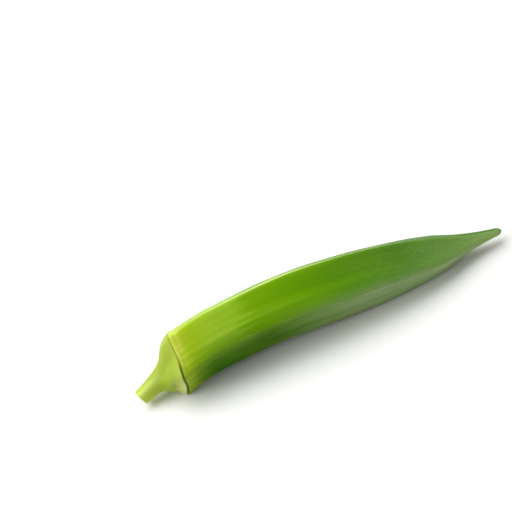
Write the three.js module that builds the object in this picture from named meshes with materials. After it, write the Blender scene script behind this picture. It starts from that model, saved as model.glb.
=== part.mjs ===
// Okra pod as picked: a five-ridged capsule, its cap and a short cut stalk, all grown as one piece.
// It lies on its side. Millimetres, +Z up, the cut stalk towards -X and the pointed tip towards +X.
// The origin is on the surface that it lies on, below the middle of its bounding box.
import * as THREE from "three";

// Driving dimensions. A place along the pod is counted from the seam between the cap and the capsule,
// below 0 on the cap and the stalk.
const CUT_END = -14.2;
const BEAK_END = 106.4; // from here on the beak rounds off
const POD_LENGTH = 108.8;
const STALK_RADIUS = 2.5;
const SEAM_RADIUS = 10.8; // radii run from the middle line to the crest of a ridge
const WIDEST_RADIUS = 10.5;
const BEAK_RADIUS = 1.4;

// How it lies: the capsule arches up and leans to the far side, and its tip is pitched down, so that
// its two lowest corners touch at the seam, and its lowest face where it narrows towards the beak.
// SINK is the depth that is flattened there.
const ARCH_LEAN = THREE.MathUtils.degToRad(27);
const PITCH = THREE.MathUtils.degToRad(2.3);
const SINK = 0.35;

// The five faces. Directions are in degrees round the pod: 0 near, 90 up, 180 far, -90 down.
// Reach is the distance to the middle of the face, as a share of the distance to a ridge.
const FACES = [
  { looks: -89, reach: 0.8 },
  { looks: -13, reach: 0.815 },
  { looks: 57, reach: 0.805 },
  { looks: 137, reach: 0.8 },
  { looks: 202, reach: 0.81 },
];

// Each profile below is a list of [place, value] that a smooth curve runs through.
const RIDGE_RADIUS = [
  [CUT_END, STALK_RADIUS],
  [-9.5, 2.9],
  [-7.2, 3.8],
  [-5.2, 5.3],
  [-3, 7.8],
  [-1.1, 9.7],
  [0.4, SEAM_RADIUS],
  [1.9, 10.4],
  [15, 10.2],
  [44, WIDEST_RADIUS],
  [60, 10.1],
  [75, 8.7],
  [87, 6.5],
  [95, 3.8],
  [101, 2.3],
  [BEAK_END, BEAK_RADIUS],
];
// Height of the middle line in the plane of the arch: the stalk droops and the belly stands highest.
const ARCH = [
  [CUT_END, -6.6],
  [-9.5, -4.5],
  [-5, -2.7],
  [-3, -0.5],
  [0, 0.1],
  [6, 1.8],
  [14, 3.2],
  [36, 4.5],
  [60, 3.1],
  [87, 0.8],
  [POD_LENGTH, -0.5],
];
// Degrees that a cross-section leans back from square, so that the cut end is square to the stalk.
const SECTION_LEAN = [
  [CUT_END, 28],
  [-9, 24],
  [-5, 4],
  [0, -2],
  [POD_LENGTH, 0],
];
// Degrees that the ridges wind round the pod.
const TWIST = [
  [CUT_END, 0],
  [0, 0],
  [75, -2],
  [POD_LENGTH, -20],
];
// Sharpness of the five corners: 2 makes a round section, and a high power flat faces.
const SHARPNESS = [
  [CUT_END, 2.2],
  [-8, 2.6],
  [-4, 6],
  [0, 15],
  [60, 14],
  [90, 10],
  [99, 5],
  [POD_LENGTH, 3],
];
// Depth of the shallow trough along the middle of each face, deepest between the corners of the cap.
const FACE_TROUGH = [
  [CUT_END, 0],
  [-8, 0.05],
  [-3, 0.4],
  [2, 0.12],
  [20, 0.22],
  [70, 0.2],
  [95, 0],
];
const TROUGH_WIDTH = 0.2; // as a share of the face
// Height of the fine rib that stands on each ridge.
const RIB = [
  [0, 0],
  [8, 0.1],
  [70, 0.1],
  [95, 0],
];
const RIB_WIDTH = 0.7;

// The groove at the seam. Its line swings towards the stalk at each ridge.
const SEAM_DEPTH = 0.25;
const SEAM_WIDTH = 0.25;
const SEAM_SWING = -0.2;
const SEAM_SWING_REACH = 5;

// Stretches of the pod and the number of rows of facets in each.
const ROWS = [
  { from: CUT_END, to: -8, rows: 5 },
  { from: -8, to: -1, rows: 11 },
  { from: -1, to: 1, rows: 10 },
  { from: 1, to: 10, rows: 6 },
  { from: 10, to: 90, rows: 32 },
  { from: 90, to: BEAK_END, rows: 9 },
];
const ROUNDED_ROWS = 4;
const COLUMNS_PER_FACE = 10;
const COLUMN_CROWDING = 0.5; // above 0, the columns stand closer towards the ridges

const radians = THREE.MathUtils.degToRad;

// The value of a profile at a place, by a cubic curve through its points.
function along(profile, place) {
  const last = profile.length - 1;
  const at = THREE.MathUtils.clamp(place, profile[0][0], profile[last][0]);
  let i = 0;
  while (i < last - 1 && profile[i + 1][0] <= at) i += 1;
  const slope = (n) => {
    const before = profile[Math.max(n - 1, 0)];
    const after = profile[Math.min(n + 1, last)];
    return (after[1] - before[1]) / (after[0] - before[0]);
  };
  const span = profile[i + 1][0] - profile[i][0];
  const rise = profile[i + 1][1] - profile[i][1];
  const t = (at - profile[i][0]) / span;
  const start = slope(i) * span;
  const end = slope(i + 1) * span;
  return profile[i][1] + t * (start + t * (3 * rise - 2 * start - end + t * (start + end - 2 * rise)));
}

// A low bell-shaped swell, 1 in its middle.
function bell(distance, width) {
  return Math.exp(-((distance / width) ** 2));
}

// Direction of the ridge between a face and the next one round.
function ridgeAfter(face) {
  const next = FACES[(face + 1) % FACES.length].looks;
  const turn = (next - FACES[face].looks + 360) % 360;
  return FACES[face].looks + turn / 2;
}

// Distance from the middle line to the five flat faces, as a share of that to a ridge.
function sectionShare(direction, sharpness) {
  let sum = 0;
  for (const face of FACES) {
    const facing = Math.cos(radians(direction - face.looks)) / face.reach;
    sum += Math.max(facing, 0) ** sharpness;
  }
  return (sum / 2) ** (-1 / sharpness);
}

// A point of the skin before the pod is laid down. Across runs from 0 at one ridge of the face to 1.
function skin(place, face, across) {
  const first = ridgeAfter((face + FACES.length - 1) % FACES.length);
  const width = (ridgeAfter(face) - first + 360) % 360;
  const share = across - (COLUMN_CROWDING * Math.sin(2 * Math.PI * across)) / (2 * Math.PI);
  const direction = first + width * share;

  let ridge = along(RIDGE_RADIUS, place);
  if (place > BEAK_END) ridge *= Math.sqrt(1 - ((place - BEAK_END) / (POD_LENGTH - BEAK_END)) ** 2);
  const fromRidge = Math.min(share, 1 - share) * radians(width) * ridge;
  let radius = ridge * sectionShare(direction, along(SHARPNESS, place));
  radius -= along(FACE_TROUGH, place) * bell(share - 0.5, TROUGH_WIDTH);
  radius += along(RIB, place) * bell(fromRidge, RIB_WIDTH);
  radius -= SEAM_DEPTH * bell(place, SEAM_WIDTH);

  const swing = SEAM_SWING * Math.cos(2 * Math.PI * share) * bell(place, SEAM_SWING_REACH);
  return onSection(place, swing, direction + along(TWIST, place), radius);
}

// A point of a cross-section, moved along the pod by swing.
function onSection(place, swing, direction, radius) {
  const archway = new THREE.Vector3(0, Math.sin(ARCH_LEAN), Math.cos(ARCH_LEAN));
  const sideways = new THREE.Vector3(0, Math.cos(ARCH_LEAN), -Math.sin(ARCH_LEAN));
  const lean = radians(along(SECTION_LEAN, place));
  const leaning = archway.clone().multiplyScalar(Math.cos(lean));
  leaning.x = -Math.sin(lean);
  const out = new THREE.Vector3(0, -Math.cos(radians(direction)), Math.sin(radians(direction)));
  return new THREE.Vector3(place + swing, 0, 0)
    .addScaledVector(archway, along(ARCH, place))
    .addScaledVector(leaning, radius * out.dot(archway))
    .addScaledVector(sideways, radius * out.dot(sideways));
}

// Places of the rows, from the cut end to the last one before the point.
function rowPlaces() {
  const places = [CUT_END];
  for (const { from, to, rows } of ROWS) {
    for (let row = 1; row <= rows; row += 1) places.push(from + ((to - from) * row) / rows);
  }
  for (let row = 1; row < ROUNDED_ROWS; row += 1) {
    const turn = (row / ROUNDED_ROWS) * (Math.PI / 2);
    places.push(BEAK_END + (POD_LENGTH - BEAK_END) * Math.sin(turn));
  }
  return places;
}

// The closed skin: rings of points joined by facets, a flat cut end and a pointed tip.
function podGeometry() {
  const places = rowPlaces();
  const columns = FACES.length * COLUMNS_PER_FACE;
  const points = [];
  for (const place of places) {
    for (let column = 0; column < columns; column += 1) {
      const face = Math.floor(column / COLUMNS_PER_FACE);
      points.push(skin(place, face, (column % COLUMNS_PER_FACE) / COLUMNS_PER_FACE));
    }
  }
  const cutCentre = points.length;
  points.push(onSection(CUT_END, 0, 0, 0));
  const tip = points.length;
  points.push(onSection(POD_LENGTH, 0, 0, 0));

  const facets = [];
  for (let column = 0; column < columns; column += 1) {
    const next = (column + 1) % columns;
    facets.push(cutCentre, column, next);
    for (let row = 0; row < places.length - 1; row += 1) {
      const a = row * columns + column;
      const b = row * columns + next;
      facets.push(a, a + columns, b, b, a + columns, b + columns);
    }
    const lastRow = (places.length - 1) * columns;
    facets.push(tip, lastRow + next, lastRow + column);
  }
  const geometry = new THREE.BufferGeometry().setFromPoints(points);
  geometry.setIndex(facets);
  return geometry;
}

// Pitches the pod, lowers it until it sinks by SINK, and flattens what would be below the surface.
function layDown(geometry) {
  geometry.rotateY(PITCH);
  geometry.computeBoundingBox();
  const { min, max } = geometry.boundingBox;
  geometry.translate(-(min.x + max.x) / 2, -(min.y + max.y) / 2, -min.z - SINK);
  const position = geometry.attributes.position;
  for (let i = 0; i < position.count; i += 1) position.setZ(i, Math.max(position.getZ(i), 0));
  geometry.computeVertexNormals();
}

function okraPod() {
  const geometry = podGeometry();
  layDown(geometry);
  const green = new THREE.MeshStandardMaterial({ color: 0x6f9c1e, roughness: 0.45, metalness: 0 });
  const pod = new THREE.Mesh(geometry, green);
  pod.name = "okra_pod";
  return pod;
}

const object = new THREE.Group();
object.add(okraPod());

export default object;
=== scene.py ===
import math

import bpy
import numpy as np
from mathutils import Matrix, Vector


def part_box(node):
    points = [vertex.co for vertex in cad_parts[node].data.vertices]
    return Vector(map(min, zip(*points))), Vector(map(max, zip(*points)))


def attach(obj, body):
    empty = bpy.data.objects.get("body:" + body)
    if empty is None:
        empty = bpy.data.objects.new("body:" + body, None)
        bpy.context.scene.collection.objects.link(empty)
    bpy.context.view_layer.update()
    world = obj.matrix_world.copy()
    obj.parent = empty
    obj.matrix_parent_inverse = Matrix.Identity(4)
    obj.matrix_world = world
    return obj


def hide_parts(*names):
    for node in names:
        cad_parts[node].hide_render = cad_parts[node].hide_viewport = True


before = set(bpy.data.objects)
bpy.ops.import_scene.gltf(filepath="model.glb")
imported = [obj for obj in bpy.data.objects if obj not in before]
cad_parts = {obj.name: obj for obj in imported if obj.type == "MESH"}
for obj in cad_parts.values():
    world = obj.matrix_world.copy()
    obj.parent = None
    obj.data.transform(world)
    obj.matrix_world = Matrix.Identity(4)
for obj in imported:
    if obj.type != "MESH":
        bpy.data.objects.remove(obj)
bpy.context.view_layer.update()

# The view.
# The pod is seen from its near side, looking down on it and a little from the stalk,
# with the camera rolled so that the pod climbs to the right.
VIEW_AZIMUTH = math.radians(-5.4)
VIEW_ELEVATION = math.radians(49.3)
VIEW_ROLL = math.radians(19.5)
VIEW_DISTANCE = 0.4968
VIEW_AIM = Vector((-0.0105, 0.0249, 0.0090))
LENS_MM = 110
NEAREST_SEEN = 0.01


def aim_camera():
    back = Vector((
        math.sin(VIEW_AZIMUTH) * math.cos(VIEW_ELEVATION),
        -math.cos(VIEW_AZIMUTH) * math.cos(VIEW_ELEVATION),
        math.sin(VIEW_ELEVATION),
    ))
    level = Vector((math.cos(VIEW_AZIMUTH), math.sin(VIEW_AZIMUTH), 0))
    upright = back.cross(level)
    right = level * math.cos(VIEW_ROLL) - upright * math.sin(VIEW_ROLL)
    up = level * math.sin(VIEW_ROLL) + upright * math.cos(VIEW_ROLL)
    camera = bpy.data.objects.new("camera", bpy.data.cameras.new("camera"))
    camera.data.lens = LENS_MM
    camera.data.clip_start = NEAREST_SEEN
    bpy.context.collection.objects.link(camera)
    turn = Matrix((right, up, back)).transposed().to_4x4()
    camera.matrix_world = Matrix.Translation(VIEW_AIM + back * VIEW_DISTANCE) @ turn
    bpy.context.scene.camera = camera


aim_camera()

# The studio.
# One large soft light hangs above the pod and a little behind it, a smaller one lights the cap from
# the stalk's side, and a dim white room fills the shadows.
SOFT_LIGHTS = {
    "overhead": {"place": (-0.14, 0.26, 0.50), "size": (0.70, 0.55), "watts": 4.3},
    "stalk_side": {"place": (-0.48, -0.02, 0.26), "size": (0.25, 0.30), "watts": 0.9},
}
LIT_POINT = Vector((0, 0, 0.01))
ROOM_COLOUR = (1, 1, 1, 1)
ROOM_BRIGHTNESS = 0.34


def hang_light(name, place, size, watts):
    light = bpy.data.lights.new(name, "AREA")
    light.shape = "RECTANGLE"
    light.size, light.size_y = size
    light.energy = watts
    lamp = bpy.data.objects.new(name, light)
    bpy.context.collection.objects.link(lamp)
    lamp.location = place
    lamp.rotation_euler = (LIT_POINT - Vector(place)).to_track_quat("-Z", "Y").to_euler()


for light_name, light_facts in SOFT_LIGHTS.items():
    hang_light(light_name, **light_facts)

room = bpy.data.worlds.new("pale_room")
room.use_nodes = True
room.node_tree.nodes["Background"].inputs["Color"].default_value = ROOM_COLOUR
room.node_tree.nodes["Background"].inputs["Strength"].default_value = ROOM_BRIGHTNESS
bpy.context.scene.world = room
bpy.context.scene.view_settings.view_transform = "Standard"

# The floor.
# A plain matt table top, nearly white, that the pod lies on.
FLOOR_REACH = 3.0
FLOOR_ROUGHNESS = 0.7


def paint(red, green, blue):
    """A screen colour, 0 to 255, as the light that a shader works in, by the sRGB curve."""
    shares = [channel / 255 for channel in (red, green, blue)]
    return [s / 12.92 if s <= 0.04045 else ((s + 0.055) / 1.055) ** 2.4 for s in shares] + [1]


FLOOR_COLOUR = paint(246, 246, 244)

floor_mesh = bpy.data.meshes.new("floor")
floor_corners = [(x * FLOOR_REACH, y * FLOOR_REACH, 0) for x, y in ((-1, -1), (1, -1), (1, 1), (-1, 1))]
floor_mesh.from_pydata(floor_corners, [], [(0, 1, 2, 3)])
floor = bpy.data.objects.new("floor", floor_mesh)
bpy.context.collection.objects.link(floor)
floor_paint = bpy.data.materials.new("floor_paint")
floor_paint.use_nodes = True
floor_paint.node_tree.nodes["Principled BSDF"].inputs["Base Color"].default_value = FLOOR_COLOUR
floor_paint.node_tree.nodes["Principled BSDF"].inputs["Roughness"].default_value = FLOOR_ROUGHNESS
floor_mesh.materials.append(floor_paint)

# The pod.
# The capsule, the cap that it grew from and the cut stalk are one body: a loft of five-sided
# sections. Places along it are in millimetres from the seam, below 0 on the cap and the stalk.
MM = 0.001
CUT_END = -14.2
BEAK_END = 106.4
POD_LENGTH = 108.8
ARCH_LEAN = math.radians(27)
PITCH = math.radians(2.3)
SINK = 0.35
# The five faces: the direction that each looks in, in degrees round the pod with 0 near and 90 up,
# and its distance from the middle line as a share of a ridge's.
FACE_LOOKS = np.array([-89, -13, 57, 137, 202])
FACE_REACH = np.array([0.8, 0.815, 0.805, 0.8, 0.81])
RIDGE_RADIUS = [
    (CUT_END, 2.5), (-9.5, 2.9), (-7.2, 3.8), (-5.2, 5.3), (-3, 7.8), (-1.1, 9.7), (0.4, 10.8), (1.9, 10.4),
    (15, 10.2), (44, 10.5), (60, 10.1), (75, 8.7), (87, 6.5), (95, 3.8), (101, 2.3), (BEAK_END, 1.4),
]
# Height of the middle line in the plane of the arch.
ARCH = [
    (CUT_END, -6.6), (-9.5, -4.5), (-5, -2.7), (-3, -0.5), (0, 0.1), (6, 1.8), (14, 3.2), (36, 4.5),
    (60, 3.1), (87, 0.8), (POD_LENGTH, -0.5),
]
# Degrees that a section leans back from square, and that the ridges wind round the pod.
SECTION_LEAN = [(CUT_END, 28), (-9, 24), (-5, 4), (0, -2), (POD_LENGTH, 0)]
TWIST = [(CUT_END, 0), (0, 0), (75, -2), (POD_LENGTH, -20)]
# Sharpness of the corners: 2 makes a round section, and a high power flat faces.
SHARPNESS = [(CUT_END, 2.2), (-8, 2.6), (-4, 6), (0, 15), (60, 14), (90, 10), (99, 5), (POD_LENGTH, 3)]
# The shallow trough along the middle of each face, and the fine rib that stands on each ridge.
FACE_TROUGH = [(CUT_END, 0), (-8, 0.05), (-3, 0.4), (2, 0.12), (20, 0.22), (70, 0.2), (95, 0)]
TROUGH_WIDTH = 0.2
RIB = [(0, 0), (8, 0.1), (70, 0.1), (95, 0)]
RIB_WIDTH = 0.7
# The groove at the seam, whose line swings towards the stalk at each ridge.
SEAM_DEPTH = 0.25
SEAM_WIDTH = 0.25
SEAM_SWING = -0.2
SEAM_SWING_REACH = 5
# The grid of the skin: columns on a face, which stand closer towards the ridges, and stretches of
# the pod with the number of rows in each.
COLUMNS_PER_FACE = 34
COLUMN_CROWDING = 0.5
ROW_STRETCHES = [
    (CUT_END, -8, 20), (-8, -1, 24), (-1, 1, 24), (1, 10, 26), (10, 90, 240), (90, BEAK_END, 60),
]
ROUNDED_ROWS = 8
# Rings of the cut end, from its rim inwards: share of the radius, and depth in millimetres.
CUT_RINGS = [
    (0.975, -0.03), (0.94, 0), (0.86, 0.08), (0.74, 0.05), (0.6, 0.1), (0.44, 0.16), (0.26, 0.22),
    (0.1, 0.24),
]
# A grown skin is never quite even: swells of (length in millimetres, waves round the pod, start).
SWELLS = [(4.5, 3, 0.4), (7.5, 2, 2.1), (2.6, 4, 4.0)]
SWELL_SHARE = 0.0025
# The side where painted shade makes the skin deeper in tone, its direction by place, and how far
# past square to that direction the painted shade still reaches.
PAINTED_SHADE_LOOKS = [(CUT_END, -50), (0, -38), (26, -38), (42, -50), (POD_LENGTH, -50)]
PAINTED_SHADE_SPILL = 0.2
# The ridge after each face: how pale it is painted, and the width in millimetres of its pale margin on
# the face before it and on the face after it. A little of this is the ridges' own paleness; most is a
# painted highlight where light grazes the top ridge and the broad margin on the face behind it. The
# paleness also changes along the pod.
RIDGE_PALENESS_AND_HIGHLIGHT = np.array([0, 0.1, 1, 0.6, 0])
HIGHLIGHT_MARGIN_BEFORE = np.array([0.4, 0.4, 0.15, 1.0, 0.4])
HIGHLIGHT_MARGIN_AFTER = np.array([0.4, 0.4, 2.9, 0.4, 0.4])
PALENESS_AND_HIGHLIGHT = [(0, 0.3), (10, 0.4), (22, 0.8), (38, 0.9), (52, 0.4), (68, 0.25), (80, 0)]
# The crest of a ridge, in millimetres, and the ridge that was scuffed: the one after the low face.
RIDGE_CREST = 0.65
SCUFFED_RIDGE = 0
# Sides of the pod where light is painted, each with its direction and the degrees over which it
# fades: a painted highlight on the lit side, painted shade on the side behind it that looks up at the
# sky, and a painted reflection of the pale floor low on the near side, which starts to fade only past
# its reach.
HIGHLIGHT_LOOKS = 74
HIGHLIGHT_SPREAD = 26
FAR_SHADE_LOOKS = 124
FAR_SHADE_SPREAD = 28
REFLECTION_LOOKS = -36
REFLECTION_REACH = 12
REFLECTION_SPREAD = 40
# A greyish sheen, the painted reflection of the pale floor, covers the lower near side: its two
# edges and how softly it ends past each.
SHEEN_EDGES = (-48, 16)
SHEEN_SOFTNESS = (40, 10)
# A faint pale line, a painted highlight as if light caught a fold, runs along each face: its share of
# the face, and its width below and above.
LINE_SHARE = 0.345
LINE_WIDTHS = (0.045, 0.11)
# The pod's three finishes, in the order in which they are added to it.
CAP_FINISH, CAPSULE_FINISH, CUT_FINISH = range(3)


def along(profile, place):
    """The value of a profile of (place, value) points at some places, on a smooth curve."""
    at, value = np.array(profile, float).T
    after = np.minimum(np.arange(len(at)) + 1, len(at) - 1)
    before = np.maximum(np.arange(len(at)) - 1, 0)
    slope = (value[after] - value[before]) / (at[after] - at[before])
    place = np.clip(place, at[0], at[-1])
    i = np.clip(np.searchsorted(at, place, side="right") - 1, 0, len(at) - 2)
    span, rise = at[i + 1] - at[i], value[i + 1] - value[i]
    t, start, end = (place - at[i]) / span, slope[i] * span, slope[i + 1] * span
    return value[i] + t * (start + t * (3 * rise - 2 * start - end + t * (start + end - 2 * rise)))


def bell(distance, width):
    """A low swell or a soft spot, 1 in its middle."""
    return np.exp(-((distance / width) ** 2))


def turned(direction, looks):
    """Degrees round the pod from one direction to another, between -180 and 180."""
    return (direction - looks + 180) % 360 - 180


def on_section(place, swing, direction, radius):
    """Points of cross-sections, moved along the pod by swing."""
    archway = np.array([0, math.sin(ARCH_LEAN), math.cos(ARCH_LEAN)])
    sideways = np.array([0, math.cos(ARCH_LEAN), -math.sin(ARCH_LEAN)])
    lean, turn = np.radians(along(SECTION_LEAN, place)), np.radians(direction)
    up = radius * (-np.cos(turn) * archway[1] + np.sin(turn) * archway[2])
    side = radius * (-np.cos(turn) * sideways[1] + np.sin(turn) * sideways[2])
    height = along(ARCH, place) + np.cos(lean) * up
    parts = [place + swing - np.sin(lean) * up] + [height * archway[i] + side * sideways[i] for i in (1, 2)]
    return np.stack(np.broadcast_arrays(*parts), -1)


def pod_columns(column):
    """Each column's face, its share of the way across it, its direction, and the face's width."""
    face, across = column // COLUMNS_PER_FACE, column % COLUMNS_PER_FACE / COLUMNS_PER_FACE
    ridge_after = FACE_LOOKS + (np.roll(FACE_LOOKS, -1) - FACE_LOOKS) % 360 / 2
    ridge_before = np.roll(ridge_after, 1)
    width = (ridge_after - ridge_before)[face] % 360
    share = across - COLUMN_CROWDING * np.sin(2 * np.pi * across) / (2 * np.pi)
    return face, share, ridge_before[face] + width * share, width


def skin_radius(place, direction, share, ridge, from_ridge):
    """Distance from the middle line to the skin."""
    sharpness = along(SHARPNESS, place)
    facing = [np.cos(np.radians(direction - looks)) / reach for looks, reach in zip(FACE_LOOKS, FACE_REACH)]
    section = (sum(np.maximum(f, 0) ** sharpness for f in facing) / 2) ** (-1 / sharpness)
    radius = ridge * section - along(FACE_TROUGH, place) * bell(share - 0.5, TROUGH_WIDTH)
    radius = radius + along(RIB, place) * bell(from_ridge, RIB_WIDTH) - SEAM_DEPTH * bell(place, SEAM_WIDTH)
    for length, waves, start in SWELLS:
        radius = radius + SWELL_SHARE * ridge * np.sin(place / length + waves * np.radians(direction) + start)
    return radius


def pod_skin(place, column):
    """The skin at rows of places and columns round the pod: points, and what the finishes know of each."""
    face, share, direction, width = pod_columns(column)
    past = np.clip((place - BEAK_END) / (POD_LENGTH - BEAK_END), 0, 1)
    ridge = along(RIDGE_RADIUS, place) * np.sqrt(1 - past**2)
    to_last, to_next = share * np.radians(width) * ridge, (1 - share) * np.radians(width) * ridge
    from_ridge = np.minimum(to_last, to_next)
    radius = skin_radius(place, direction, share, ridge, from_ridge)

    turn = np.radians(direction)
    last_pale_and_highlight = np.roll(RIDGE_PALENESS_AND_HIGHLIGHT, 1)[face] * bell(to_last, np.roll(HIGHLIGHT_MARGIN_AFTER, 1)[face])
    next_pale_and_highlight = RIDGE_PALENESS_AND_HIGHLIGHT[face] * bell(to_next, HIGHLIGHT_MARGIN_BEFORE[face])
    from_near = turned(direction, 0)
    below, above = np.maximum(SHEEN_EDGES[0] - from_near, 0), np.maximum(from_near - SHEEN_EDGES[1], 0)
    past_reflection = np.maximum(np.abs(turned(direction, REFLECTION_LOOKS)) - REFLECTION_REACH, 0)
    before_scuff, after_scuff = face == SCUFFED_RIDGE, face == SCUFFED_RIDGE + 1
    known = {
        "place": place,
        # Pale ridges, mostly a painted highlight on the top ridge and the face behind it.
        "pale_rib_and_highlight": along(PALENESS_AND_HIGHLIGHT, place) * (last_pale_and_highlight + next_pale_and_highlight),
        # Painted shade: the side away from the light, painted in deeper tones.
        "painted_shade": np.clip(np.cos(turn - np.radians(along(PAINTED_SHADE_LOOKS, place))) + PAINTED_SHADE_SPILL, 0, 1),
        # Painted highlight: the lit side.
        "highlight_side": bell(turned(direction, HIGHLIGHT_LOOKS), HIGHLIGHT_SPREAD),
        # Painted shade: the side that looks up and away.
        "far_side_shade": bell(turned(direction, FAR_SHADE_LOOKS), FAR_SHADE_SPREAD),
        # Painted reflection of the pale floor, low on the near side.
        "floor_reflection": bell(past_reflection, REFLECTION_SPREAD),
        # Painted sheen: the reflection of the pale floor on the lower near side.
        "floor_sheen": bell(below, SHEEN_SOFTNESS[0]) * bell(above, SHEEN_SOFTNESS[1]),
        # Painted highlight: a pale line along each face, as if light caught a fold.
        "line": bell(share - LINE_SHARE, np.where(share < LINE_SHARE, *LINE_WIDTHS)),
        "crest": bell(from_ridge, RIDGE_CREST),
        "low_crest": before_scuff * bell(to_next, RIDGE_CREST) + after_scuff * bell(to_last, RIDGE_CREST),
    }
    known = {name: np.broadcast_to(values, radius.shape) for name, values in known.items()}
    # The pod as if it were straight, which its grain is laid out on.
    straight = np.broadcast_arrays(place, radius * np.cos(turn), radius * np.sin(turn))
    known["grown"] = np.stack(straight, -1)
    swing = SEAM_SWING * np.cos(2 * np.pi * share) * bell(place, SEAM_SWING_REACH)
    return on_section(place, swing, direction + along(TWIST, place), radius), known


def laid_down(points):
    """The points pitched, put in the pod's box, sunk a little, and flattened where they meet the floor."""
    x, y, z = np.moveaxis(points, -1, 0)
    pitched_x = x * math.cos(PITCH) + z * math.sin(PITCH)
    pitched_z = z * math.cos(PITCH) - x * math.sin(PITCH)
    tilted = np.stack([pitched_x, y, pitched_z], -1)
    low, high = tilted.min(0), tilted.max(0)
    move = (np.array(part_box("okra_pod")).sum(0) / MM - low - high) / 2
    move[2] = -SINK - low[2]
    return np.maximum(tilted + move, [-np.inf, -np.inf, 0])


def pod_places():
    """The places of the skin's rows, from the cut end to the last one before the tip."""
    places = [CUT_END]
    for start, end, rows in ROW_STRETCHES:
        places += [start + (end - start) * row / rows for row in range(1, rows + 1)]
    for row in range(1, ROUNDED_ROWS):
        places.append(BEAK_END + (POD_LENGTH - BEAK_END) * math.sin(math.pi / 2 * row / ROUNDED_ROWS))
    return places


def pod_faces(places, columns, rings):
    """The faces between the rows of points, with the finish of each. The cut end's rings come first."""
    rows = rings + len(places)
    middle_index, tip_index = rows * columns, rows * columns + 1
    faces, finishes = [], []
    for row in range(rows - 1):
        finish = CAP_FINISH
        if row < rings:
            finish = CUT_FINISH
        elif places[row - rings] >= 0:
            finish = CAPSULE_FINISH
        for column in range(columns):
            a, b = row * columns + column, row * columns + (column + 1) % columns
            faces.append((a, a + columns, b + columns, b))
            finishes.append(finish)
    last = (rows - 1) * columns
    for column in range(columns):
        after = (column + 1) % columns
        faces += [(middle_index, column, after), (tip_index, last + after, last + column)]
        finishes += [CUT_FINISH, CAPSULE_FINISH]
    return faces, finishes


def remember(mesh, name, values):
    """Stores what a mesh knows of its points: one number each, or a vector."""
    kind, field = ("FLOAT_VECTOR", "vector") if values.ndim == 2 else ("FLOAT", "value")
    mesh.attributes.new(name, kind, "POINT").data.foreach_set(field, values.astype(np.float32).ravel())


def build_pod():
    places = pod_places()
    columns = len(FACE_LOOKS) * COLUMNS_PER_FACE
    skin, known = pod_skin(np.array(places)[:, None], np.arange(columns)[None])

    # The rings of the cut end run from its middle to its rim, each a smaller copy of the rim.
    lean = math.radians(SECTION_LEAN[0][1])
    inward = np.array([
        math.cos(lean),
        math.sin(ARCH_LEAN) * math.sin(lean),
        math.cos(ARCH_LEAN) * math.sin(lean),
    ])
    cut_middle = on_section(np.array([CUT_END]), 0, 0, 0)[0]
    rings = [cut_middle + (skin[0] - cut_middle) * reach + inward * depth for reach, depth in CUT_RINGS[::-1]]
    tip = on_section(np.array([POD_LENGTH]), 0, 0, 0)[0]
    points = np.concatenate([*rings, skin.reshape(-1, 3), [cut_middle + inward * CUT_RINGS[-1][1], tip]])
    faces, finishes = pod_faces(places, columns, len(rings))

    mesh = bpy.data.meshes.new("pod")
    mesh.from_pydata((laid_down(points) * MM).tolist(), [], faces)
    mesh.polygons.foreach_set("material_index", finishes)
    mesh.polygons.foreach_set("use_smooth", [True] * len(faces))

    # The rings know what the rim knows. The last two points are the middle of the cut and the tip.
    ring_reach = np.array([reach for reach, _ in CUT_RINGS[::-1]])
    for name, values in known.items():
        on_rings = np.repeat(values[:1], len(rings), axis=0)
        if name == "grown":
            on_rings = on_rings * ring_reach[:, None, None]
            on_rings[..., 0] = CUT_END
        width = values.shape[2:]
        ends = [np.zeros(width), values[-1, 0]]
        remember(mesh, name, np.concatenate([on_rings.reshape(-1, *width), values.reshape(-1, *width), ends]))
    on_cut = np.repeat(ring_reach, columns)
    remember(mesh, "cut_reach", np.concatenate([on_cut, np.ones(len(places) * columns), [0, 1]]))
    mesh.update()
    pod = bpy.data.objects.new("pod", mesh)
    bpy.context.collection.objects.link(pod)
    return pod


pod = build_pod()
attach(pod, "root")
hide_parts("okra_pod")

# The skin of the cap and the stalk.
# Paler and yellower than the capsule, and waxy, with fine fibres and a dark olive line in the seam,
# which painted shade deepens on its lower side. Light is painted on it too: a pale highlight streak on
# the stalk's lit side, painted shade on the side that looks up and away, and a greyish painted
# reflection of the pale floor low on the near side of the cap.
CAP_TONES = [
    (CUT_END, (194, 208, 88)),
    (-13, (188, 206, 72)),
    (-8, (156, 177, 44)),
    (-3, (152, 173, 42)),
    (0, (166, 184, 54)),
]
# A grain is its size in millimetres along the pod and across it, its detail, and its roughness if
# that isn't 0.5. Most of its noise lies within NOISE_LIMITS.
NOISE_LIMITS = (0.3, 0.7)
CAP_FIBRE_GRAIN = ((12, 0.6, 0.6), 3, 0.6)
CAP_REFLECTION_GRAIN = ((5, 3, 3), 2)
CAP_GLOSS_GRAIN = ((6, 3, 3), 3)
# A fade is two places along the pod and the amounts of paint at them.
CAP_HIGHLIGHT_FADE = ((-5, -9), (0.05, 0.32))
CAP_REFLECTION_FADE = ((-5, -1), (0, 0.8))
CAP_REFLECTION_PATCHES = (0.5, 1)
CAP_FIBRE_AMOUNT = 0.15
CAP_FAR_SHADE_AMOUNT = 0.6
CAP_FIBRE_PAINT = paint(130, 158, 30)
CAP_HIGHLIGHT_PAINT = paint(220, 232, 150)
CAP_REFLECTION_PAINT = paint(216, 222, 144)
CAP_FAR_SHADE_PAINT = paint(132, 158, 20)
CAP_ROUGHNESS = (0.38, 0.55)
CAP_FIBRE_HEIGHT = 0.03 * MM
# How deep the skin lets light in, by colour.
CAP_GLOW = (1.0, 1.0, 0.3)
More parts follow.
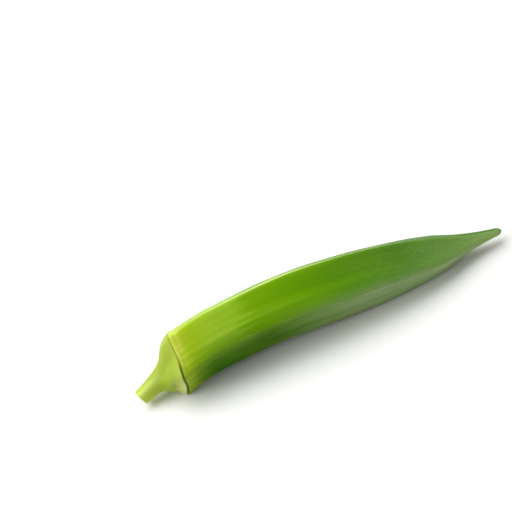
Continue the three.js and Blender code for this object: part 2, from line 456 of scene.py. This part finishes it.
# The line in the seam ends at a place on each side. It starts past its full amount, so that its
# middle is solid. It is the seam's own dark line, deepened by painted shade on the shaded lower side,
# so it is fainter on the lit side.
SEAM_LINE_AND_SHADE_PAINT = paint(64, 84, 0)
SEAM_AMOUNTS = (1.3, 0)
SEAM_SHADE_LIMITS = (0, 0.5)
SEAM_SHADE_AMOUNTS = (0.3, 1)
SEAM_ON_CAP = -0.5


class Finish:
    """A material's node tree, with short calls for the nodes that the pod's finishes use."""

    def __init__(self, name):
        self.material = bpy.data.materials.new(name)
        self.material.use_nodes = True
        self.tree = self.material.node_tree
        self.shader = self.tree.nodes["Principled BSDF"]

    def feed(self, socket, value):
        """Gives a socket a value of its own, or a link from another socket."""
        if isinstance(value, bpy.types.NodeSocket):
            self.tree.links.new(value, socket)
        else:
            socket.default_value = value

    def set(self, **values):
        """The shader's own sockets, with _ for the spaces in their names."""
        for socket, value in values.items():
            self.feed(self.shader.inputs[socket.replace("_", " ")], value)

    def node(self, kind, **values):
        made = self.tree.nodes.new("ShaderNode" + kind)
        for socket, value in values.items():
            self.feed(made.inputs[socket], value)
        return made

    def known(self, name, output="Fac"):
        """What the mesh knows of a point, such as its place along the pod."""
        made = self.node("Attribute")
        made.attribute_name = name
        return made.outputs[output]

    def spread(self, value, limits, amounts=(0.0, 1.0)):
        """The value carried from its two limits to two amounts, and held past them."""
        made = self.node("MapRange", Value=value)
        for index, number in enumerate((*limits, *amounts), 1):
            made.inputs[index].default_value = number
        return made.outputs["Result"]

    def tones(self, value, stops):
        """The colour of a value, through a list of (value, screen colour)."""
        low, high = stops[0][0], stops[-1][0]
        made = self.node("ValToRGB", Fac=self.spread(value, (low, high)))
        while len(made.color_ramp.elements) < len(stops):
            made.color_ramp.elements.new(0.5)
        for element, (at, colour) in zip(made.color_ramp.elements, stops):
            element.position = (at - low) / (high - low)
            element.color = paint(*colour)
        return made.outputs["Color"]

    def grain(self, size, detail, roughness=0.5):
        """Noise on the pod as if it were straight."""
        scaled = self.node("VectorMath", Vector=self.known("grown", "Vector"))
        scaled.operation = "DIVIDE"
        scaled.inputs[1].default_value = size
        noise = self.node("TexNoise", Vector=scaled.outputs["Vector"], Scale=1.0)
        noise.inputs["Detail"].default_value = detail
        noise.inputs["Roughness"].default_value = roughness
        return noise.outputs["Fac"]

    def blend(self, amount, under, over):
        """One colour over another. A Mix node has its colours at 6 and 7, and the result at 2."""
        made = self.node("Mix")
        made.data_type = "RGBA"
        for index, value in ((0, amount), (6, under), (7, over)):
            self.feed(made.inputs[index], value)
        return made.outputs[2]

    def combine(self, operation, first, second):
        made = self.node("Math")
        made.operation = operation
        self.feed(made.inputs[0], first)
        self.feed(made.inputs[1], second)
        return made.outputs[0]

    def times(self, first, second):
        return self.combine("MULTIPLY", first, second)

    def plus(self, first, second):
        return self.combine("ADD", first, second)

    def seam_line(self, colour, painted_shade, end):
        """A colour with the line of the seam over it, which runs out at the place where it ends, and
        which painted shade deepens on the shaded side.
        """
        depth = self.spread(self.known("place"), (0, end), SEAM_AMOUNTS)
        depth = self.times(depth, self.spread(painted_shade, SEAM_SHADE_LIMITS, SEAM_SHADE_AMOUNTS))
        return self.blend(depth, colour, SEAM_LINE_AND_SHADE_PAINT)

    def relief(self, height, distance, under=None):
        """Bumps of a height map, over other bumps if there are any."""
        made = self.node("Bump", Height=height, Distance=distance, Strength=1.0)
        if under is not None:
            self.feed(made.inputs["Normal"], under)
        return made.outputs["Normal"]


def cap_skin():
    finish = Finish("cap_skin")
    place, painted_shade = finish.known("place"), finish.known("painted_shade")
    fibre = finish.spread(finish.grain(*CAP_FIBRE_GRAIN), NOISE_LIMITS)
    colour = finish.tones(place, CAP_TONES)
    colour = finish.blend(finish.times(fibre, CAP_FIBRE_AMOUNT), colour, CAP_FIBRE_PAINT)
    # Painted highlight: a pale streak on the stalk's lit side.
    cap_highlight = finish.times(finish.known("highlight_side"), finish.spread(place, *CAP_HIGHLIGHT_FADE))
    colour = finish.blend(cap_highlight, colour, CAP_HIGHLIGHT_PAINT)
    # Painted reflection of the pale floor: greyish patches low on the cap's near side.
    patches = finish.spread(finish.grain(*CAP_REFLECTION_GRAIN), NOISE_LIMITS, CAP_REFLECTION_PATCHES)
    floor_reflection = finish.times(finish.known("floor_reflection"), patches)
    colour = finish.blend(finish.times(floor_reflection, finish.spread(place, *CAP_REFLECTION_FADE)), colour, CAP_REFLECTION_PAINT)
    # Painted shade: darker green on the side that looks up and away.
    far_side_shade = finish.times(finish.known("far_side_shade"), CAP_FAR_SHADE_AMOUNT)
    colour = finish.blend(far_side_shade, colour, CAP_FAR_SHADE_PAINT)
    colour = finish.seam_line(colour, painted_shade, SEAM_ON_CAP)
    finish.set(
        Base_Color=colour,
        Roughness=finish.spread(finish.grain(*CAP_GLOSS_GRAIN), NOISE_LIMITS, CAP_ROUGHNESS),
        Normal=finish.relief(fibre, CAP_FIBRE_HEIGHT),
        Specular_IOR_Level=0.15,
        Subsurface_Weight=0.15,
        Subsurface_Radius=CAP_GLOW,
        Subsurface_Scale=MM,
    )
    return finish.material


pod.data.materials.append(cap_skin())

# The capsule's skin.
# Fresh green skin with a satin bloom: yellow beside the cap, bluer towards the beak, with fine
# lengthwise fibres under it. Light is painted into it: a lit and a shaded copy of its tones, painted
# highlights on the top ridge, the collar and a line along each face, painted shade on the side that
# looks up and away, and a painted reflection of the pale floor on the lower near side.
# The tones of the lit side, which the painted shade copy below is blended over.
LIT_TONES = [
    (0, (208, 216, 84)),
    (1, (196, 210, 66)),
    (2.5, (170, 192, 36)),
    (6, (158, 190, 26)),
    (12, (156, 194, 44)),
    (20, (148, 190, 40)),
    (25, (116, 168, 2)),
    (42, (102, 156, 2)),
    (54, (90, 146, 10)),
    (75, (87, 139, 42)),
    (92, (128, 174, 86)),
    (104, (152, 188, 108)),
    (108.2, (160, 188, 116)),
    (108.6, (120, 118, 78)),
    (POD_LENGTH, (96, 88, 60)),
]
# The tones with painted shade: deeper green beside the cap, and greyer from about 40 millimetres on, where
# some painted reflection of the pale floor is mixed in.
PAINTED_SHADE_TONES = [
    (0, (166, 190, 50)),
    (2, (146, 176, 34)),
    (5, (100, 138, 6)),
    (10, (52, 106, 0)),
    (30, (54, 100, 0)),
    (42, (82, 120, 26)),
    (56, (88, 127, 40)),
    (92, (130, 166, 96)),
    (108.2, (150, 176, 112)),
    (108.6, (120, 118, 78)),
    (POD_LENGTH, (96, 88, 60)),
]
# The tones change at places that wander by up to 4 millimetres from streak to streak, least at the
# seam and not at all towards the beak.
WANDER_GRAIN = ((40, 1.3, 1.3), 2)
WANDER_LIMITS = (0.35, 0.65)
WANDER_MM = (-4, 4)
WANDER_GROWS = ((0, 25), (0.2, 1))
WANDER_STOPS = ((50, 80), (1, 0))
# Yellow mottling, and dark fibres that also stand out as fine bumps.
MOTTLE_GRAIN = ((14, 4, 4), 3)
MOTTLE_LIMITS = (0.35, 0.7)
MOTTLE_AMOUNT = 0.18
MOTTLE_PAINT = paint(140, 176, 20)
FIBRE_GRAIN = ((34, 0.8, 0.8), 3, 0.55)
FIBRE_AMOUNT = 0.14
FIBRE_PAINT = paint(60, 110, 2)
FIBRE_HEIGHT = 0.02 * MM
# The pale line along each face, a painted highlight as if light caught a fold, which the side with
# painted shade doesn't show.
LINE_SHADE_LIMITS = (0.3, 0.7)
LINE_SHADE_AMOUNTS = (0.22, 0)
LINE_STARTS = ((4, 12), (0, 1))
LINE_STOPS = ((14, 46), (1, 0))
FOLD_HIGHLIGHT_PAINT = paint(196, 220, 70)
# A greyish sheen in streaks: the painted reflection of the pale floor.
SHEEN_FADE = ((31, 60), (0, 0.72))
SHEEN_GRAIN = ((40, 1.0, 1.0), 3, 0.6)
SHEEN_LIMITS = (0.36, 0.62)
SHEEN_STREAKS = (0.42, 1)
SHEEN_PAINT = paint(158, 178, 130)
# Fine pale speckles towards the beak.
SPECKLE_GRAIN = ((0.8, 0.6, 0.6), 2)
SPECKLE_LIMITS = (0.5, 0.8)
SPECKLE_AMOUNTS = (0, 0.3)
SPECKLE_STARTS = ((45, 88), (0, 1))
SPECKLE_PAINT = paint(176, 204, 136)
# The brown scuff along the low ridge, painted shade as a deeper green on the side that looks up and
# away, a cream painted highlight on the lit side of the collar beside the cap, and the pale ridges,
# mostly a painted highlight.
SCUFF_FADE = ((44, 60), (0, 0.85))
SCUFF_PAINT = paint(110, 100, 70)
FAR_SHADE_FADE = ((44, 68), (0, 0.95))
FAR_SHADE_PAINT = paint(54, 102, 8)
COLLAR_HIGHLIGHT_FADE = ((3.6, 1.2), (0, 0.34))
COLLAR_HIGHLIGHT_PAINT = paint(234, 236, 104)
PALE_RIB_AND_HIGHLIGHT_PAINT = paint(194, 208, 124)
SEAM_ON_CAPSULE = 0.75
SATIN_GRAIN = ((9, 3, 3), 3)
SATIN_ROUGHNESS = (0.38, 0.5)
PORE_GRAIN = ((0.5, 0.35, 0.35), 1)
PORE_HEIGHT = 0.02 * MM
CAPSULE_GLOW = (0.8, 1.0, 0.1)


def capsule_skin():
    finish = Finish("capsule_skin")
    place, painted_shade = finish.known("place"), finish.known("painted_shade")

    wander = finish.spread(finish.grain(*WANDER_GRAIN), WANDER_LIMITS, WANDER_MM)
    reach = finish.times(finish.spread(place, *WANDER_GROWS), finish.spread(place, *WANDER_STOPS))
    ragged = finish.plus(place, finish.times(wander, reach))
    # Painted shade: the shaded copy of the tones, blended over the lit one.
    colour = finish.blend(painted_shade, finish.tones(ragged, LIT_TONES), finish.tones(ragged, PAINTED_SHADE_TONES))

    mottle = finish.spread(finish.grain(*MOTTLE_GRAIN), MOTTLE_LIMITS)
    colour = finish.blend(finish.times(mottle, MOTTLE_AMOUNT), colour, MOTTLE_PAINT)
    fibre = finish.spread(finish.grain(*FIBRE_GRAIN), NOISE_LIMITS)
    colour = finish.blend(finish.times(fibre, FIBRE_AMOUNT), colour, FIBRE_PAINT)

    # Painted highlight: the pale line along each face.
    line = finish.times(finish.known("line"), finish.spread(painted_shade, LINE_SHADE_LIMITS, LINE_SHADE_AMOUNTS))
    reach = finish.times(finish.spread(place, *LINE_STARTS), finish.spread(place, *LINE_STOPS))
    colour = finish.blend(finish.times(line, reach), colour, FOLD_HIGHLIGHT_PAINT)

    # Painted reflection of the pale floor: a greyish sheen in streaks.
    floor_sheen = finish.times(finish.known("floor_sheen"), finish.spread(ragged, *SHEEN_FADE))
    streaks = finish.spread(finish.grain(*SHEEN_GRAIN), SHEEN_LIMITS, SHEEN_STREAKS)
    colour = finish.blend(finish.times(floor_sheen, streaks), colour, SHEEN_PAINT)
    speckle = finish.spread(finish.grain(*SPECKLE_GRAIN), SPECKLE_LIMITS, SPECKLE_AMOUNTS)
    speckle = finish.times(speckle, finish.spread(place, *SPECKLE_STARTS))
    colour = finish.blend(speckle, colour, SPECKLE_PAINT)

    scuff = finish.times(finish.known("low_crest"), finish.spread(place, *SCUFF_FADE))
    colour = finish.blend(scuff, colour, SCUFF_PAINT)
    # Painted shade: deeper green on the side that looks up and away, towards the beak.
    far_side_shade = finish.times(finish.known("far_side_shade"), finish.spread(place, *FAR_SHADE_FADE))
    colour = finish.blend(far_side_shade, colour, FAR_SHADE_PAINT)
    # Painted highlight: cream on the lit side of the collar.
    collar_highlight = finish.times(finish.known("highlight_side"), finish.spread(place, *COLLAR_HIGHLIGHT_FADE))
    colour = finish.blend(collar_highlight, colour, COLLAR_HIGHLIGHT_PAINT)
    # Pale ridges, mostly a painted highlight where light grazes the top ridge.
    colour = finish.blend(finish.known("pale_rib_and_highlight"), colour, PALE_RIB_AND_HIGHLIGHT_PAINT)
    # The seam's dark line, deepened by painted shade.
    colour = finish.seam_line(colour, painted_shade, SEAM_ON_CAPSULE)

    fibre_bumps = finish.relief(fibre, FIBRE_HEIGHT)
    finish.set(
        Base_Color=colour,
        Roughness=finish.spread(finish.grain(*SATIN_GRAIN), NOISE_LIMITS, SATIN_ROUGHNESS),
        Normal=finish.relief(finish.grain(*PORE_GRAIN), PORE_HEIGHT, fibre_bumps),
        Specular_IOR_Level=0.05,
        Subsurface_Weight=0.12,
        Subsurface_Radius=CAPSULE_GLOW,
        Subsurface_Scale=MM,
    )
    return finish.material


pod.data.materials.append(capsule_skin())

# The cut end of the stalk.
# A knife cut through pale pith, with a darker ring of vessels and a thin green rind. Its tones run
# from its middle, 0, to its rim, 1.
CUT_TONES = [
    (0, (214, 222, 164)),
    (0.5, (206, 218, 146)),
    (0.68, (168, 186, 96)),
    (0.78, (190, 206, 116)),
    (0.93, (176, 196, 90)),
    (1, (132, 140, 60)),
]
PITH_GRAIN = ((1, 0.25, 0.25), 2)
PITH_HEIGHT = 0.05 * MM
PITH_GLOW = (1.0, 1.0, 0.5)


def cut_flesh():
    finish = Finish("cut_flesh")
    finish.set(
        Base_Color=finish.tones(finish.known("cut_reach"), CUT_TONES),
        Roughness=0.6,
        Normal=finish.relief(finish.grain(*PITH_GRAIN), PITH_HEIGHT),
        Subsurface_Weight=0.2,
        Subsurface_Radius=PITH_GLOW,
        Subsurface_Scale=MM,
    )
    return finish.material


pod.data.materials.append(cut_flesh())

# The fine hairs.
# Short pale bristles, thickest on the ridges and towards the beak, that lean towards the tip. They
# are so thin that they only soften the skin.
HAIR_COUNT = 1600
HAIR_SEED = 5
HAIR_LENGTH = (0.2, 0.45)
HAIR_RADIUS = 0.016
HAIRS_FROM = 1
HAIRINESS = [(HAIRS_FROM, 0), (12, 0.2), (40, 0.4), (92, 1), (POD_LENGTH, 0.8)]
HAIRINESS_OFF_RIDGES = 0.15
HAIR_FLOOR_GAP = 0.6
HAIR_LEAN = np.array([0.7, 0, 0])
HAIR_WAVER = 0.15
HAIR_TONE = paint(206, 220, 160)
HAIR_ROUGHNESS = 0.5
# A fixed direction, which the sides of each hair are found from.
ASLANT = [0.3, 0.5, 0.8]


def read_points(mesh):
    """What the hairs need of a mesh's points, by name."""
    read = {}
    for name, source, field, width in (
        ("spot", mesh.vertices, "co", 3),
        ("outward", mesh.vertices, "normal", 3),
        ("place", mesh.attributes["place"].data, "value", 1),
        ("crest", mesh.attributes["crest"].data, "value", 1),
    ):
        values = np.empty(len(mesh.vertices) * width, np.float32)
        source.foreach_get(field, values)
        read[name] = values.reshape(-1, width)
    return read


def build_hairs():
    chance = np.random.default_rng(HAIR_SEED)
    read = read_points(pod.data)
    place, crest = read["place"][:, 0], read["crest"][:, 0]
    weight = along(HAIRINESS, place) * (HAIRINESS_OFF_RIDGES + crest) * along(RIDGE_RADIUS, place)
    weight = np.where((place > HAIRS_FROM) & (read["spot"][:, 2] > HAIR_FLOOR_GAP * MM), weight, 0)
    chosen = chance.choice(len(place), HAIR_COUNT, replace=False, p=weight / weight.sum())

    heading = read["outward"][chosen] + HAIR_LEAN + chance.normal(0, HAIR_WAVER, (HAIR_COUNT, 3))
    heading /= np.linalg.norm(heading, axis=1, keepdims=True)
    side = np.cross(heading, ASLANT)
    side /= np.linalg.norm(side, axis=1, keepdims=True)
    other = np.cross(heading, side)
    root = read["spot"][chosen] - heading * HAIR_RADIUS * MM
    length = chance.uniform(*HAIR_LENGTH, (HAIR_COUNT, 1))

    # Each hair is a point and the three corners of its root.
    corners = [root + heading * length * MM]
    for turn in (0, 2 * math.pi / 3, 4 * math.pi / 3):
        corners.append(root + (side * math.cos(turn) + other * math.sin(turn)) * HAIR_RADIUS * MM)
    points = np.stack(corners, 1).reshape(-1, 3)
    faces = [(4 * n, 4 * n + a, 4 * n + b) for n in range(HAIR_COUNT) for a, b in ((1, 2), (2, 3), (3, 1))]
    mesh = bpy.data.meshes.new("hairs")
    mesh.from_pydata(points.tolist(), [], faces)
    bristle = Finish("bristle")
    bristle.set(Base_Color=HAIR_TONE, Roughness=HAIR_ROUGHNESS)
    mesh.materials.append(bristle.material)
    hairs = bpy.data.objects.new("hairs", mesh)
    bpy.context.collection.objects.link(hairs)
    return hairs


hairs = build_hairs()
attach(hairs, "root")
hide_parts("okra_pod")
